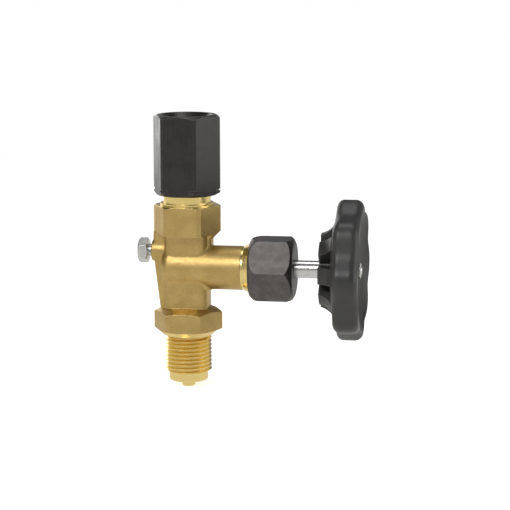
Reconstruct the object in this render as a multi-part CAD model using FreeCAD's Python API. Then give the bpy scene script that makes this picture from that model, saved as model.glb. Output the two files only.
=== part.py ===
import FreeCAD, Part
import math
import os

os.makedirs("parts", exist_ok=True)

# Needle valve for a pressure gauge, millimetres.
# Origin: centre of the flat end face of the process connection, at the root of its centring spigot.
# +Z points up to the gauge socket, +X points along the stem to the handwheel.

# ---------------------------------------------------------------- shared fits
RUN_CLEARANCE = 0.05        # radial, between a turning piece and its guide
FREE_CLEARANCE = 0.2        # radial, where a piece only passes through
STACK_CLEARANCE = 0.02      # axial, between stacked loose pieces
CUT_MARGIN = 1.0            # how far a cutting tool runs past the face it opens
GROOVE_MARGIN = 0.3         # the same for the tool that cuts a thread's groove

# ---------------------------------------------------------------- valve body, outside
STEM_AXIS_Z = 51.3          # end face of the process connection to the stem axis
NECK_HALF_WIDTH = 9.7       # forged neck along X; its section is a rounded rectangle
BRANCH_PROUD = 1.75         # how far the round branch stands out in front of the neck
NECK_CORNER_ROUND = 4.2
NECK_FILLET = 2.4           # between the forged neck and the side branch
HEX_FLATS = 27.0            # wrench size of both body hexagons, the sleeve and the gland nut

SPIGOT_RADIUS = 3.0
SPIGOT_LENGTH = 3.0
SPIGOT_CHAMFER = 0.4
RELIEF_STEP = 0.55          # thread root to the plain end of the process connection
RELIEF_LENGTH = 3.9
RELIEF_CHAMFER = 0.5
PIPE_THREAD_RADIUS = 10.4775    # G 1/2, crests of the outside thread
PIPE_THREAD_PITCH = 1.814
PIPE_THREAD_DEPTH = 1.162
PIPE_CREST_WIDTH = 0.42
PIPE_FLANK_ANGLE = 27.5     # degrees, half of the Whitworth angle
THREAD_SECTORS = 8
PROCESS_THREAD_LENGTH = 16.4
THREAD_TAPER_LENGTH = 0.9   # cone at each end of the outside thread
UNDERCUT_LENGTH = 0.9       # run-out groove between the thread and the lower hexagon
UNDERCUT_STEP = 0.3         # thread root to the bottom of that groove
LOWER_CONE_HEIGHT = 1.8     # turned cone below the lower hexagon, just inside its flats
LOWER_CONE_STEP = 1.2       # thread crest to the small end of that cone
LOWER_CHAMFER_HEIGHT = 0.7  # cone's large end to the full corners of the hexagon
LOWER_HEX_HEIGHT = 7.3      # full corners of the lower hexagon
LOWER_TOP_CONE_HEIGHT = 2.6
FLAT_INSET = 0.25           # turned ends of a hexagon, inside its flats

UPPER_HEX_BASE = 15.3       # stem axis to the underside of the upper hexagon
UPPER_HEX_HEIGHT = 12.9     # from the underside to the top face
UPPER_CORNER_CUT = 0.6      # rounded off the corners of the upper hexagon
UPPER_SHOULDER_CUT = 1.3    # chamfer of the forging at the hexagon's corner over the branch
UPPER_TOP_CHAMFER = 0.5
UPPER_TOP_STEP = 0.7        # radial, of that chamfer
GUSSET_DROP = 2.4           # height and width of the gusset's sloping edge
GUSSET_THICKNESS = 9.0
COLLAR_STEP = 1.4           # thread crest to the rim of the polished collar on the upper hexagon
COLLAR_HEIGHT = 1.0
SLEEVE_GAP = 3.6            # collar to the lower end of the sleeve
NECK_THREAD_ENGAGED = 14.0  # left-hand thread of the body inside the sleeve
NECK_END_CHAMFER = 0.8

BRANCH_RADIUS = 9.85        # forged side branch round the stem axis
BRANCH_BACK_STEP = 1.3      # how far the branch comes out at the back of the neck
BRANCH_BACK_ROUND = 4.0
BRANCH_FORGED_END = 25.0
BRANCH_GROOVE_WIDTH = 1.0
BRANCH_GROOVE_DEPTH = 0.35
BRANCH_FLARE_START_STEP = 0.25  # forged branch to the small end of the flare
BRANCH_FLARE_END_STEP = 0.3     # gland thread crest to the large end of the flare
BRANCH_FLARE_LENGTH = 3.3
GLAND_THREAD_RADIUS = 11.0  # M22 x 1.5 on the branch
GLAND_UNDERCUT_DEPTH = 0.9
GLAND_UNDERCUT_LENGTH = 0.8

VENT_AXIS_RISE = 7.2        # vent axis above the stem axis
VENT_BOSS_RADIUS = 4.75
VENT_BOSS_END = 15.9        # neck axis to the outer face of the boss
VENT_BOSS_ROUND = 0.6
WEB_THICKNESS = 7.4         # web from the upper hexagon over the boss down to the lower hexagon
WEB_FOOT_STEP = 2.3         # neck to the web's edge, at its foot
WEB_EDGE_ROUND = 1.8
SMALL_HEX_ROUND = 0.2       # along the corners of the small hexagons
HEX_EDGE_ROUND = 0.4        # along the corners of the large hexagons

# ---------------------------------------------------------------- valve body, inside
SEAT_X = 5.5                # edge of the valve seat
SEAT_RADIUS = 2.25
SEAT_BORE_BACK = 2.0        # how far the seat bore runs behind the neck axis
CHAMBER_RADIUS = 5.2        # needle chamber, the core size of the stem thread
CHAMBER_MOUTH = 1.5         # cone from the needle chamber to the packing chamber
STEM_THREAD_GAP = 1.2       # open stem's thread to the packing chamber
PACKING_CHAMBER_RADIUS = 7.0
FLOW_BORE_RADIUS = 1.75
INLET_REACH_X = 8.0         # where the slanted inlet bore enters the needle chamber
VENT_BORE_RADIUS = 1.5
VENT_SEAT_X = 8.6           # neck axis to the edge of the vent seat
VENT_THREAD_RADIUS = 3.0    # M6 x 1

# ---------------------------------------------------------------- clamping sleeve
SLEEVE_LENGTH = 35.5
SLEEVE_CORNER_CUT = 0.35    # turned off the corners of the sleeve
SLEEVE_TURN = -6.0          # degrees the sleeve's front flat is turned from the body's
SLEEVE_TOP_CHAMFER = 1.2
SLEEVE_BOTTOM_CHAMFER = 1.2
SLEEVE_FACE_STEP = 0.4      # flats to the end face that the chamfers leave
SOCKET_GAP = 3.0            # relief between the neck's end and the right-hand socket thread
SOCKET_RELIEF_STEP = 0.3    # thread root in the socket to that relief
SOCKET_CHAMFER = 0.9
MARK_HEIGHT = 2.0           # left-hand mark, a groove across the corners
MARK_WIDTH = 0.9
MARK_DEPTH = 0.9
SEAL_GAP = 0.4              # round the seal ring, inside the socket thread
SEAL_INNER_RADIUS = 3.1
SEAL_THICKNESS = 1.5

# ---------------------------------------------------------------- stem and needle
LIFT = 6.5                  # travel from this open position to shut
NEEDLE_HALF_ANGLE = 30.0
NEEDLE_TIP_RADIUS = 0.6
NEEDLE_COLLAR_RADIUS = 3.5
NEEDLE_COLLAR_LENGTH = 1.5
NEEDLE_SHANK_RADIUS = 2.2
NEEDLE_SHANK_LENGTH = 7.0
RING_PLACE = 4.0            # collar to the retaining ring
RING_WIDTH = 0.8
RING_INNER_RADIUS = 1.65
RING_OUTER_RADIUS = 2.75
STEM_THREAD_LENGTH = 8.6
STEM_RADIUS = 4.0
STEM_CHAMFER = 0.4
STEM_SQUARE = 6.0
SQUARE_SHORTFALL = 0.5      # square end below the bush face, so that the nut clamps the bush
STUD_RADIUS = 2.0           # M4
STUD_PROUD = 0.5            # stud end beyond its nut

# ---------------------------------------------------------------- packing and gland
BASE_WASHER_THICKNESS = 1.5
HEADER_THICKNESS = 1.2
V_RING_COUNT = 3
V_RING_THICKNESS = 1.9
V_RING_PEAK = 1.1
ADAPTER_THICKNESS = 2.2
FOLLOWER_SLEEVE_LENGTH = 4.75   # from the packing to the flange
FOLLOWER_FLANGE_CLEARANCE = 0.7     # radial, inside the gland thread
FOLLOWER_FLANGE_LENGTH = 3.5
FOLLOWER_GAP = 1.0          # left for tightening, branch end to follower flange
NUT_OVERLAP = 0.6           # nut over the end of the branch's flare
NUT_WALL_THICKNESS = 3.9
NUT_MOUTH_CLEARANCE = 0.5   # radial, nut mouth round the flare
NUT_MOUTH_DEPTH = 1.2
NUT_BACK_CHAMFER = 4.3      # rounded chamfer towards the body
NUT_BACK_STEP = 0.7         # flats to the back face that this chamfer leaves
NUT_FRONT_CHAMFER = 3.0     # rounded chamfer towards the wheel
NUT_FRONT_STEP = 1.5
NUT_CHAMFER_BULGE = 0.08    # rise of each chamfer's arc, as a share of its chord
NUT_TURN = 30               # degrees, so that two flats are level

# ---------------------------------------------------------------- handwheel
LOBE_COUNT = 8
OUTLINE_POINTS_PER_LOBE = 8
WHEEL_RADIUS = 31.5         # to the top of a lobe
LOBE_HEIGHT = 3.0           # lobe top above the valley
RIM_WIDTH = 11.7
RIM_ROUND_BACK = 3.2
RIM_ROUND_FRONT = 3.6
SHUT_GAP = 5.4              # gland nut to the hub when shut
HUB_FLOOR = 1.7             # back face of the hub to the end of its bush
HUB_FOOT_STEP = 11.0        # lobe top to the ribs of the hub, where they run into the disc
HUB_FLARE = 4.0             # how much narrower the ribs are at the hub's back face
HUB_CORE_RADIUS = 10.7
HUB_RIB_WIDTH = 7.4
HUB_FLARE_LENGTH_SHARE = 0.55   # where the flare of the ribs has its middle point
HUB_FLARE_RADIUS_SHARE = 0.35
DISC_FOOT_STEP = 1.0        # rib foot to the flat part of the disc's back
HUB_LENGTH = 5.7            # back face of the hub to the disc
DISC_FALL = 1.3             # the disc's back face drops this much from the hub to the rim
DISH_DEPTH = 4.5
DISH_LIP_STEP = 4.5         # lobe top to the lip of the dish
DISH_WALL_WIDTH = 10.0      # lip of the dish to its floor
DISH_SAG_RADIUS_SHARE = 0.6     # where the dish's wall has its middle point
DISH_SAG_DEPTH_SHARE = 0.35
BUSH_RADIUS = 7.0
BUSH_LENGTH = 12.5
SQUARE_CLEARANCE = 0.08     # each side, stem square in the bush
WASHER_RADIUS = 4.6
WASHER_THICKNESS = 0.8
WHEEL_NUT_FLATS = 6.4
WHEEL_NUT_HEIGHT = 2.4

# ---------------------------------------------------------------- vent screw
VENT_HEAD_FLATS = 10.0
VENT_HEAD_LENGTH = 4.2
VENT_HEAD_GAP = 1.8         # screw head to the boss, shut
VENT_NECK_STEP = 0.4        # thread crest to the neck behind the head
VENT_BLEED_RADIUS = 1.0
VENT_CROSS_RADIUS = 0.45    # bleed bore across that neck
VENT_BALL_RADIUS = 2.0
VENT_HEAD_CHAMFER = 0.8

# ---------------------------------------------------------------- places worked out from the sizes
PIPE_ROOT_RADIUS = PIPE_THREAD_RADIUS - PIPE_THREAD_DEPTH
RELIEF_RADIUS = PIPE_ROOT_RADIUS - RELIEF_STEP
UNDERCUT_RADIUS = PIPE_ROOT_RADIUS - UNDERCUT_STEP
LOWER_CONE_RADIUS = PIPE_THREAD_RADIUS + LOWER_CONE_STEP
COLLAR_RADIUS = PIPE_THREAD_RADIUS + COLLAR_STEP
HEX_CORNER = HEX_FLATS / math.sqrt(3)
FLAT_RADIUS = HEX_FLATS / 2 - FLAT_INSET
UPPER_CORNER_RADIUS = HEX_CORNER - UPPER_CORNER_CUT
SLEEVE_CORNER_RADIUS = HEX_CORNER - SLEEVE_CORNER_CUT
SLEEVE_FACE_RADIUS = HEX_FLATS / 2 - SLEEVE_FACE_STEP
MARK_RADIUS = SLEEVE_CORNER_RADIUS - MARK_DEPTH
THREAD_TOP_Z = RELIEF_LENGTH + PROCESS_THREAD_LENGTH
LOWER_CONE_Z = THREAD_TOP_Z + UNDERCUT_LENGTH
LOWER_CONE_TOP_Z = LOWER_CONE_Z + LOWER_CONE_HEIGHT
LOWER_HEX_Z = LOWER_CONE_TOP_Z + LOWER_CHAMFER_HEIGHT
LOWER_HEX_TOP_Z = LOWER_HEX_Z + LOWER_HEX_HEIGHT
LOWER_NECK_Z = LOWER_HEX_TOP_Z + LOWER_TOP_CONE_HEIGHT
UPPER_HEX_Z = STEM_AXIS_Z + UPPER_HEX_BASE
UPPER_HEX_TOP_Z = UPPER_HEX_Z + UPPER_HEX_HEIGHT
COLLAR_TOP_Z = UPPER_HEX_TOP_Z + COLLAR_HEIGHT
SLEEVE_Z = COLLAR_TOP_Z + SLEEVE_GAP
SLEEVE_TOP_Z = SLEEVE_Z + SLEEVE_LENGTH
NECK_END_Z = SLEEVE_Z + NECK_THREAD_ENGAGED
VENT_AXIS_Z = STEM_AXIS_Z + VENT_AXIS_RISE

NECK_HALF_DEPTH = BRANCH_RADIUS - BRANCH_PROUD
BRANCH_BACK = NECK_HALF_WIDTH + BRANCH_BACK_STEP
BRANCH_FLARE_END_RADIUS = GLAND_THREAD_RADIUS + BRANCH_FLARE_END_STEP
GLAND_UNDERCUT_RADIUS = GLAND_THREAD_RADIUS - GLAND_UNDERCUT_DEPTH
BRANCH_TURNED_X = BRANCH_FORGED_END + BRANCH_GROOVE_WIDTH
BRANCH_FLARE_END_X = BRANCH_TURNED_X + BRANCH_FLARE_LENGTH

NEEDLE_SLOPE = math.tan(math.radians(NEEDLE_HALF_ANGLE))
NEEDLE_TIP_X = SEAT_X - (SEAT_RADIUS - NEEDLE_TIP_RADIUS) / NEEDLE_SLOPE + LIFT
NEEDLE_COLLAR_X = NEEDLE_TIP_X + (NEEDLE_COLLAR_RADIUS - NEEDLE_TIP_RADIUS) / NEEDLE_SLOPE
NEEDLE_SHANK_X = NEEDLE_COLLAR_X + NEEDLE_COLLAR_LENGTH
STEM_START_X = NEEDLE_SHANK_X + RUN_CLEARANCE
RETAINER_X = NEEDLE_SHANK_X + RING_PLACE
STEM_THREAD_END_X = STEM_START_X + STEM_THREAD_LENGTH
SHOULDER_X = STEM_THREAD_END_X + STEM_THREAD_GAP
CHAMBER_END_X = SHOULDER_X - CHAMBER_MOUTH
STEM_BORE_RADIUS = STEM_RADIUS + RUN_CLEARANCE

HEADER_X = SHOULDER_X + BASE_WASHER_THICKNESS + STACK_CLEARANCE
V_RING_START_X = HEADER_X + HEADER_THICKNESS + STACK_CLEARANCE
V_RING_STEP = V_RING_THICKNESS + STACK_CLEARANCE
ADAPTER_X = V_RING_START_X + V_RING_COUNT * V_RING_STEP
FOLLOWER_X = ADAPTER_X + ADAPTER_THICKNESS + STACK_CLEARANCE
FLANGE_X = FOLLOWER_X + FOLLOWER_SLEEVE_LENGTH
BRANCH_END = FLANGE_X - FOLLOWER_GAP
NUT_WALL_X = FLANGE_X + FOLLOWER_FLANGE_LENGTH + STACK_CLEARANCE
NUT_END_X = NUT_WALL_X + NUT_WALL_THICKNESS
NUT_START_X = BRANCH_FLARE_END_X - NUT_OVERLAP
NUT_MOUTH_RADIUS = BRANCH_FLARE_END_RADIUS + NUT_MOUTH_CLEARANCE
NUT_BACK_RADIUS = HEX_FLATS / 2 - NUT_BACK_STEP
NUT_FRONT_RADIUS = HEX_FLATS / 2 - NUT_FRONT_STEP

HUB_FOOT_RADIUS = WHEEL_RADIUS - HUB_FOOT_STEP
HUB_TIP_RADIUS = HUB_FOOT_RADIUS - HUB_FLARE
DISH_RADIUS = WHEEL_RADIUS - DISH_LIP_STEP
DISH_FLOOR_RADIUS = DISH_RADIUS - DISH_WALL_WIDTH
HUB_BACK_X = NUT_END_X + LIFT + SHUT_GAP
STEM_SHOULDER_X = HUB_BACK_X + HUB_FLOOR
BUSH_END_X = STEM_SHOULDER_X + BUSH_LENGTH
RIM_FRONT_X = BUSH_END_X + DISH_DEPTH
RIM_BACK_X = RIM_FRONT_X - RIM_WIDTH
DISC_BACK_X = HUB_BACK_X + HUB_LENGTH
WASHER_END_X = BUSH_END_X + WASHER_THICKNESS
WHEEL_NUT_END_X = WASHER_END_X + WHEEL_NUT_HEIGHT
SQUARE_END_X = BUSH_END_X - SQUARE_SHORTFALL
STUD_END_X = WHEEL_NUT_END_X + STUD_PROUD
VENT_NECK_RADIUS = VENT_THREAD_RADIUS - VENT_NECK_STEP
VENT_HEAD_X = -(VENT_BOSS_END + VENT_HEAD_GAP)
VENT_BALL_X = -(VENT_SEAT_X + math.sqrt(VENT_BALL_RADIUS ** 2 - VENT_BORE_RADIUS ** 2))
VENT_SCREW_END_X = VENT_BALL_X    # the screw's cup holds the ball up to its middle

ORIGIN = FreeCAD.Vector(0, 0, 0)
ALONG_X = FreeCAD.Vector(1, 0, 0)
ALONG_Y = FreeCAD.Vector(0, 1, 0)
ALONG_Z = FreeCAD.Vector(0, 0, 1)
STEM_AXIS = FreeCAD.Vector(0, 0, STEM_AXIS_Z)
VENT_AXIS = FreeCAD.Vector(0, 0, VENT_AXIS_Z)


def onto_axis(shape, base=ORIGIN, direction=ALONG_Z):
    """Move a shape made about +Z onto another axis; its height becomes the distance along that axis."""
    placed = shape.copy()
    placed.Placement = FreeCAD.Placement(base, FreeCAD.Rotation(ALONG_Z, direction))
    return placed


def turned(profile, base=ORIGIN, direction=ALONG_Z):
    """A turned solid from (distance along the axis, radius) corners."""
    points = [FreeCAD.Vector(radius, 0, along) for along, radius in profile]
    face = Part.Face(Part.makePolygon(points + points[:1]))
    return onto_axis(face.revolve(ORIGIN, ALONG_Z, 360), base, direction)


def rod(radius, start, end, base=ORIGIN, direction=ALONG_Z):
    """A round bar between two distances along an axis."""
    bar = Part.makeCylinder(radius, end - start, FreeCAD.Vector(0, 0, start))
    return onto_axis(bar, base, direction)


def tube(inner, outer, start, end, base=ORIGIN, direction=ALONG_Z):
    """A plain ring between two distances along an axis."""
    return turned([(start, inner), (start, outer), (end, outer), (end, inner)], base, direction)


def hexagon(flats, start, end, edge_round, turn=0.0, base=ORIGIN, direction=ALONG_Z):
    """A hexagonal bar; turn 0 puts two of its flats square to Y before it is laid on the axis."""
    corner = flats / math.sqrt(3)
    angles = [math.radians(60 * step + turn) for step in range(6)]
    points = [FreeCAD.Vector(corner * math.cos(a), corner * math.sin(a), start) for a in angles]
    bar = Part.Face(Part.makePolygon(points + points[:1])).extrude(FreeCAD.Vector(0, 0, end - start))
    long_edges = [edge for edge in bar.Edges if edge.BoundBox.ZLength > (end - start) / 2]
    return onto_axis(bar.makeFillet(edge_round, long_edges), base, direction)


def sectored(profile):
    """A turned solid about +Z of joined sectors, so that each thread crest is a short cylindrical patch."""
    sweep = 360 / THREAD_SECTORS
    points = [FreeCAD.Vector(radius, 0, along) for along, radius in profile]
    face = Part.Face(Part.makePolygon(points + points[:1]))
    pieces = []
    for step in range(THREAD_SECTORS):
        wedge = face.revolve(ORIGIN, ALONG_Z, sweep)
        wedge.rotate(ORIGIN, ALONG_Z, step * sweep)
        pieces.append(wedge)
    return pieces[0].fuse(pieces[1:])


def thread_groove(opening_radius, depth, pitch, start, end, outside):
    """The right-hand helical groove of a thread about +Z, cut inwards (outside) or outwards."""
    direction = -1 if outside else 1
    half_opening = (pitch - PIPE_CREST_WIDTH) / 2
    slope = math.tan(math.radians(PIPE_FLANK_ANGLE))
    half_root = half_opening - depth * slope
    half_mouth = half_opening + GROOVE_MARGIN * slope
    mouth = opening_radius - direction * GROOVE_MARGIN
    root = opening_radius + direction * depth
    corners = [(mouth, -half_mouth), (root, -half_root), (root, half_root), (mouth, half_mouth)]
    points = [FreeCAD.Vector(radius, 0, height) for radius, height in corners]
    profile = Part.makePolygon(points + points[:1])
    helix = Part.makeLongHelix(pitch, end - start, opening_radius)
    groove = Part.Wire(helix.Edges).makePipeShell([profile], True, True)
    groove.translate(FreeCAD.Vector(0, 0, start))
    return groove


def edges_where(shape, test):
    """The edges whose centre of mass and box pass a test."""
    return [edge for edge in shape.Edges if test(edge.CenterOfMass, edge.BoundBox)]


def write(name, shape):
    """One node, one STEP file."""
    shape.exportStep(os.path.join("parts", name + ".step"))


def forged_neck():
    """The upright neck, a bar of rounded rectangular section between the two hexagons."""
    height = UPPER_HEX_Z + CUT_MARGIN - LOWER_HEX_TOP_Z
    corner = FreeCAD.Vector(-NECK_HALF_WIDTH, -NECK_HALF_DEPTH, LOWER_HEX_TOP_Z)
    bar = Part.makeBox(2 * NECK_HALF_WIDTH, 2 * NECK_HALF_DEPTH, height, corner)
    upright = edges_where(bar, lambda centre, box: box.ZLength > height / 2)
    return bar.makeFillet(NECK_CORNER_ROUND, upright)


def where_branch_meets_neck(edge):
    """True for the edges that the branch's round surface and the neck have in common."""
    point = edge.valueAt((edge.FirstParameter + edge.LastParameter) / 2)
    from_axis = math.hypot(point.y, point.z - STEM_AXIS_Z)
    on_branch = abs(from_axis - BRANCH_RADIUS) < STACK_CLEARANCE
    return on_branch and abs(point.x) < NECK_HALF_WIDTH + RUN_CLEARANCE


def forged_skin():
    """The forged body between its two hexagons: neck, side branch, vent boss, web and gusset."""
    branch = rod(BRANCH_RADIUS, -BRANCH_BACK, BRANCH_FORGED_END, STEM_AXIS, ALONG_X)
    back = edges_where(branch, lambda centre, box: box.XMax < CUT_MARGIN - BRANCH_BACK)
    branch = branch.makeFillet(BRANCH_BACK_ROUND, back)
    skin = forged_neck().fuse(branch)
    skin = skin.makeFillet(NECK_FILLET, [edge for edge in skin.Edges if where_branch_meets_neck(edge)])
    boss = rod(VENT_BOSS_RADIUS, -VENT_BOSS_END, 0, VENT_AXIS, ALONG_X)
    rim = edges_where(boss, lambda centre, box: box.XMax < CUT_MARGIN - VENT_BOSS_END)
    boss = boss.makeFillet(VENT_BOSS_ROUND, rim)
    return skin.fuse([boss, web(), gusset()])


def upright_plate(outline, thickness, edge_round, is_outer):
    """A plate square to Y from an outline in X and Z, rounded along its outer edges."""
    points = [FreeCAD.Vector(x, -thickness / 2, z) for x, z in outline]
    plate = Part.Face(Part.makePolygon(points + points[:1])).extrude(ALONG_Y * thickness)
    outer = edges_where(plate, lambda centre, box: (
        box.YLength < CUT_MARGIN and box.ZLength > CUT_MARGIN and is_outer(centre.x)))
    return plate.makeFillet(edge_round, outer)


def web():
    """The web that carries the vent boss, from the upper hexagon down to the lower one."""
    outline = [
        (0, LOWER_HEX_TOP_Z),
        (-NECK_HALF_WIDTH - WEB_FOOT_STEP, LOWER_HEX_TOP_Z),
        (-VENT_BOSS_END + VENT_BOSS_ROUND, VENT_AXIS_Z),
        (-UPPER_CORNER_RADIUS, UPPER_HEX_Z + CUT_MARGIN),
        (0, UPPER_HEX_Z + CUT_MARGIN),
    ]
    return upright_plate(outline, WEB_THICKNESS, WEB_EDGE_ROUND, lambda x: x < -CUT_MARGIN)


def gusset():
    """The short gusset under the upper hexagon's corner, over the branch."""
    reach = UPPER_CORNER_RADIUS - UPPER_SHOULDER_CUT
    outline = [
        (0, STEM_AXIS_Z),
        (reach - GUSSET_DROP, STEM_AXIS_Z),
        (reach - GUSSET_DROP, UPPER_HEX_Z - GUSSET_DROP),
        (reach, UPPER_HEX_Z + RUN_CLEARANCE),
        (0, UPPER_HEX_Z + RUN_CLEARANCE),
    ]
    return upright_plate(outline, GUSSET_THICKNESS, WEB_EDGE_ROUND, lambda x: x > CUT_MARGIN)


def lower_hexagon():
    """The wrench hexagon above the process thread, turned to a cone on both ends."""
    bar = hexagon(HEX_FLATS, LOWER_CONE_Z, LOWER_NECK_Z, HEX_EDGE_ROUND)
    cones = turned([
        (LOWER_CONE_Z, 0),
        (LOWER_CONE_Z, LOWER_CONE_RADIUS),
        (LOWER_CONE_TOP_Z, FLAT_RADIUS),
        (LOWER_HEX_Z, HEX_CORNER),
        (LOWER_HEX_TOP_Z, HEX_CORNER),
        (LOWER_NECK_Z, NECK_HALF_WIDTH),
        (LOWER_NECK_Z, 0),
    ])
    return bar.common(cones)


def upper_hexagon():
    """The wrench hexagon below the sleeve, with rounded corners and a chamfer over the branch."""
    bar = hexagon(HEX_FLATS, UPPER_HEX_Z, UPPER_HEX_TOP_Z, HEX_EDGE_ROUND)
    outline = turned([
        (UPPER_HEX_Z, 0),
        (UPPER_HEX_Z, UPPER_CORNER_RADIUS),
        (UPPER_HEX_TOP_Z - UPPER_TOP_CHAMFER, UPPER_CORNER_RADIUS),
        (UPPER_HEX_TOP_Z, UPPER_CORNER_RADIUS - UPPER_TOP_STEP),
        (UPPER_HEX_TOP_Z, 0),
    ])
    corners = [
        (HEX_CORNER, UPPER_HEX_Z),
        (UPPER_CORNER_RADIUS - UPPER_SHOULDER_CUT, UPPER_HEX_Z),
        (HEX_CORNER, UPPER_HEX_Z + UPPER_SHOULDER_CUT + HEX_CORNER - UPPER_CORNER_RADIUS),
    ]
    points = [FreeCAD.Vector(x, -HEX_FLATS / 2, z) for x, z in corners]
    shoulder = Part.Face(Part.makePolygon(points + points[:1])).extrude(ALONG_Y * HEX_FLATS)
    return bar.common(outline).cut(shoulder)


def process_end():
    """The threaded process connection with its plain relief end and centring spigot."""
    thread = sectored([
        (0, 0),
        (0, RELIEF_RADIUS - RELIEF_CHAMFER),
        (RELIEF_CHAMFER, RELIEF_RADIUS),
        (RELIEF_LENGTH, RELIEF_RADIUS),
        (RELIEF_LENGTH + THREAD_TAPER_LENGTH, PIPE_THREAD_RADIUS),
        (THREAD_TOP_Z - THREAD_TAPER_LENGTH, PIPE_THREAD_RADIUS),
        (THREAD_TOP_Z, UNDERCUT_RADIUS),
        (LOWER_CONE_Z, UNDERCUT_RADIUS),
        (LOWER_CONE_Z, 0),
    ])
    groove = thread_groove(
        PIPE_THREAD_RADIUS, PIPE_THREAD_DEPTH, PIPE_THREAD_PITCH,
        RELIEF_LENGTH, THREAD_TOP_Z + PIPE_THREAD_PITCH, True)
    spigot = turned([
        (-SPIGOT_LENGTH, 0),
        (-SPIGOT_LENGTH, SPIGOT_RADIUS - SPIGOT_CHAMFER),
        (SPIGOT_CHAMFER - SPIGOT_LENGTH, SPIGOT_RADIUS),
        (0, SPIGOT_RADIUS),
        (0, 0),
    ])
    return thread.cut(groove).fuse(spigot)


def gauge_end():
    """The collar on the upper hexagon and the left-hand threaded neck that the sleeve turns on."""
    return turned([
        (UPPER_HEX_TOP_Z, 0),
        (UPPER_HEX_TOP_Z, COLLAR_RADIUS),
        (COLLAR_TOP_Z, COLLAR_RADIUS),
        (COLLAR_TOP_Z, PIPE_THREAD_RADIUS),
        (NECK_END_Z - NECK_END_CHAMFER, PIPE_THREAD_RADIUS),
        (NECK_END_Z, PIPE_THREAD_RADIUS - NECK_END_CHAMFER),
        (NECK_END_Z, 0),
    ])


def gland_end():
    """The machined end of the side branch: groove, flared collar, undercut and gland nut thread."""
    return turned([
        (BRANCH_FORGED_END, 0),
        (BRANCH_FORGED_END, BRANCH_RADIUS - BRANCH_GROOVE_DEPTH),
        (BRANCH_TURNED_X, BRANCH_RADIUS - BRANCH_GROOVE_DEPTH),
        (BRANCH_TURNED_X, BRANCH_RADIUS + BRANCH_FLARE_START_STEP),
        (BRANCH_FLARE_END_X, BRANCH_FLARE_END_RADIUS),
        (BRANCH_FLARE_END_X, GLAND_UNDERCUT_RADIUS),
        (BRANCH_FLARE_END_X + GLAND_UNDERCUT_LENGTH, GLAND_UNDERCUT_RADIUS),
        (BRANCH_FLARE_END_X + GLAND_UNDERCUT_LENGTH, GLAND_THREAD_RADIUS),
        (BRANCH_END, GLAND_THREAD_RADIUS),
        (BRANCH_END, 0),
    ], STEM_AXIS, ALONG_X)


def body_bores():
    """Everything drilled and turned out of the body."""
    stem_side = turned([
        (-SEAT_BORE_BACK, 0),
        (-SEAT_BORE_BACK, SEAT_RADIUS),
        (SEAT_X, SEAT_RADIUS),
        (SEAT_X, CHAMBER_RADIUS),
        (CHAMBER_END_X, CHAMBER_RADIUS),
        (SHOULDER_X, CHAMBER_RADIUS + SHOULDER_X - CHAMBER_END_X),
        (SHOULDER_X, PACKING_CHAMBER_RADIUS),
        (BRANCH_END + CUT_MARGIN, PACKING_CHAMBER_RADIUS),
        (BRANCH_END + CUT_MARGIN, 0),
    ], STEM_AXIS, ALONG_X)
    outlet = rod(FLOW_BORE_RADIUS, STEM_AXIS_Z, NECK_END_Z + CUT_MARGIN)
    inlet_end = FreeCAD.Vector(INLET_REACH_X, 0, STEM_AXIS_Z - CHAMBER_RADIUS)
    inlet_start = FreeCAD.Vector(0, 0, -SPIGOT_LENGTH)
    inlet_line = inlet_end - inlet_start
    inlet_length = inlet_line.Length
    inlet = rod(FLOW_BORE_RADIUS, -CUT_MARGIN, inlet_length + CUT_MARGIN, inlet_start, inlet_line)
    seat_cone_length = VENT_THREAD_RADIUS - VENT_BORE_RADIUS
    vent = turned([
        (0, 0),
        (0, VENT_BORE_RADIUS),
        (VENT_SEAT_X, VENT_BORE_RADIUS),
        (VENT_SEAT_X + seat_cone_length, VENT_THREAD_RADIUS + RUN_CLEARANCE),
        (VENT_BOSS_END + CUT_MARGIN, VENT_THREAD_RADIUS + RUN_CLEARANCE),
        (VENT_BOSS_END + CUT_MARGIN, 0),
    ], VENT_AXIS, -ALONG_X)
    return [stem_side, outlet, inlet, vent]


def valve_body():
    """The brass body in one piece."""
    outside = forged_skin().fuse([lower_hexagon(), upper_hexagon(), gauge_end(), gland_end()])
    return outside.fuse(process_end()).cut(body_bores())


def gauge_seal_ring():
    """The flat sealing ring that lies on the neck, under the gauge."""
    start = NECK_END_Z + STACK_CLEARANCE
    return tube(SEAL_INNER_RADIUS, PIPE_ROOT_RADIUS - SEAL_GAP, start, start + SEAL_THICKNESS)


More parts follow.
